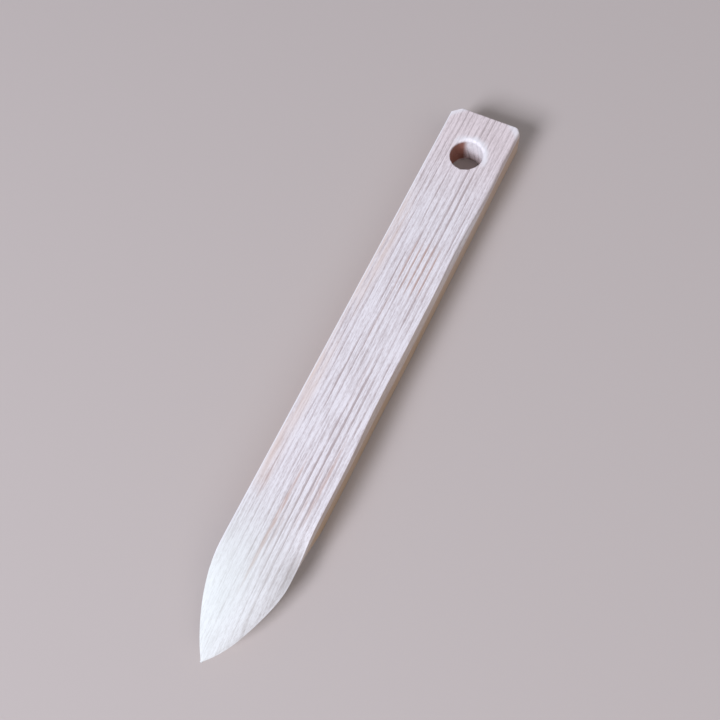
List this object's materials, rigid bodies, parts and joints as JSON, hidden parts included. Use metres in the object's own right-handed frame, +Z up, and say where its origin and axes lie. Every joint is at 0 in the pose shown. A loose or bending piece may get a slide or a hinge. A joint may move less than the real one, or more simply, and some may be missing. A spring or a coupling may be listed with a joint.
{
  "type": "wooden bookbinding awl",
  "caption": "Flat one-piece wooden bookbinding tool with a pointed, thinned tip for marking and creasing and a round hole in the butt for hanging.",
  "frame": {"origin": "middle of the footprint, on the surface that the tool lies on", "axes": "+X along the tool from the butt with the hole to the tip, +Y across it, +Z up through its thickness"},
  "size_m": [0.1076, 0.0138, 0.0063],
  "materials": {
    "wood": "pale straight-grained softwood, planed and knife-cut, unfinished"
  },
  "bodies": {
    "root": {"wooden_body": "wood"}
  },
  "joints": []
}
